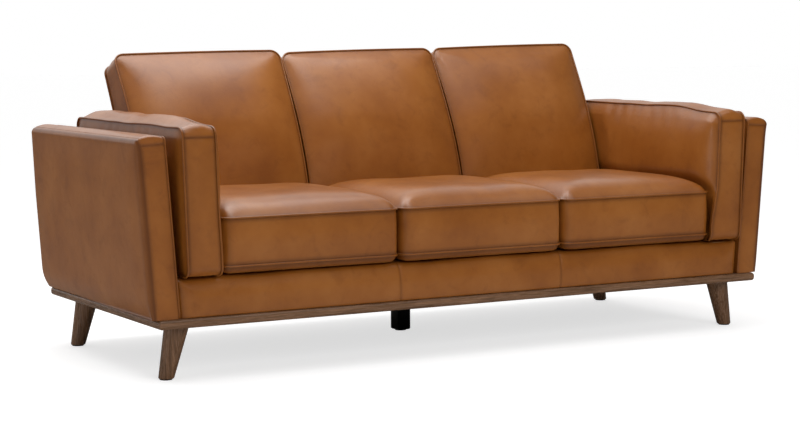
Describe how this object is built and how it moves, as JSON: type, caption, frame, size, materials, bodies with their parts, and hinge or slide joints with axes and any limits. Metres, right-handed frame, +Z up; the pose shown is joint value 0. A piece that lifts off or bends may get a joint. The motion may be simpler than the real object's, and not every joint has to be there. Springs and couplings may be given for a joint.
{
  "type": "sofa",
  "caption": "Leather sofa with leaning arm panels, inner arm pads, loose boxed seat and back cushions, a bullnose wood base trim and splayed tapered wood legs.",
  "frame": {"origin": "on the floor under the middle of the sofa's overall length and depth", "axes": "+X along the sofa, to the right for someone facing its front; +Y to the back; +Z up"},
  "size_m": [2.112, 0.851, 0.8564],
  "materials": {
    "cognac_leather": "semi-aniline, satin",
    "walnut_stained_wood": "satin lacquer",
    "frame_timber": "planed, unfinished",
    "black_painted_wood": "satin paint",
    "foam": "open-cell foam",
    "webbing": "woven elastic strap",
    "lining_cloth": "woven lining",
    "zinc_steel": "zinc plated",
    "glide_plastic": "moulded"
  },
  "bodies": {
    "base": {"back_top_rail": "frame_timber", "back_webbing": "webbing", "centre_beam": "frame_timber", "centre_leg": "black_painted_wood", "corner_blocks": "frame_timber", "dust_cover": "lining_cloth", "front_left_leg": "walnut_stained_wood", "front_rail": "frame_timber", "front_rail_cover": "cognac_leather", "front_rail_padding": "foam", "front_right_leg": "walnut_stained_wood", "front_trim": "walnut_stained_wood", "inner_back_posts": "frame_timber", "inside_back_cover": "lining_cloth", "inside_back_padding": "foam", "left_arm_board": "frame_timber", "left_arm_spacer": "frame_timber", "left_back_post": "frame_timber", "left_inner_arm_cover": "cognac_leather", "left_inner_arm_foam": "foam", "left_outer_arm_cover": "cognac_leather", "left_outer_arm_padding": "foam", "left_side_rail": "frame_timber", "left_trim": "walnut_stained_wood", "leg_bolts": "zinc_steel", "leg_glides": "glide_plastic", "outside_back_cover": "cognac_leather", "outside_back_padding": "foam", "rear_left_leg": "walnut_stained_wood", "rear_rail": "frame_timber", "rear_right_leg": "walnut_stained_wood", "rear_trim": "walnut_stained_wood", "right_arm_board": "frame_timber", "right_arm_spacer": "frame_timber", "right_back_post": "frame_timber", "right_inner_arm_cover": "cognac_leather", "right_inner_arm_foam": "foam", "right_outer_arm_cover": "cognac_leather", "right_outer_arm_padding": "foam", "right_side_rail": "frame_timber", "right_trim": "walnut_stained_wood", "seat_back_rail": "frame_timber", "seat_deck": "lining_cloth", "seat_webbing": "webbing", "trim_screws": "zinc_steel"},
    "seat_cushion_left": {"seat_cushion_left_cover": "cognac_leather", "seat_cushion_left_foam": "foam"},
    "seat_cushion_middle": {"seat_cushion_middle_cover": "cognac_leather", "seat_cushion_middle_foam": "foam"},
    "seat_cushion_right": {"seat_cushion_right_cover": "cognac_leather", "seat_cushion_right_foam": "foam"},
    "back_cushion_left": {"back_cushion_left_cover": "cognac_leather", "back_cushion_left_foam": "foam"},
    "back_cushion_middle": {"back_cushion_middle_cover": "cognac_leather", "back_cushion_middle_foam": "foam"},
    "back_cushion_right": {"back_cushion_right_cover": "cognac_leather", "back_cushion_right_foam": "foam"}
  },
  "joints": [
    {"name": "seat_cushion_left_lift", "type": "slide", "parent": "base", "child": "seat_cushion_left", "axis": [0, 0, 1], "range_m": [0, 0.43]},
    {"name": "seat_cushion_middle_lift", "type": "slide", "parent": "base", "child": "seat_cushion_middle", "axis": [0, 0, 1], "range_m": [0, 0.43]},
    {"name": "seat_cushion_right_lift", "type": "slide", "parent": "base", "child": "seat_cushion_right", "axis": [0, 0, 1], "range_m": [0, 0.43]},
    {"name": "back_cushion_left_lift", "type": "slide", "parent": "base", "child": "back_cushion_left", "axis": [0, 0.4067, 0.9135], "range_m": [0, 0.45]},
    {"name": "back_cushion_middle_lift", "type": "slide", "parent": "base", "child": "back_cushion_middle", "axis": [0, 0.4067, 0.9135], "range_m": [0, 0.45]},
    {"name": "back_cushion_right_lift", "type": "slide", "parent": "base", "child": "back_cushion_right", "axis": [0, 0.4067, 0.9135], "range_m": [0, 0.45]}
  ]
}
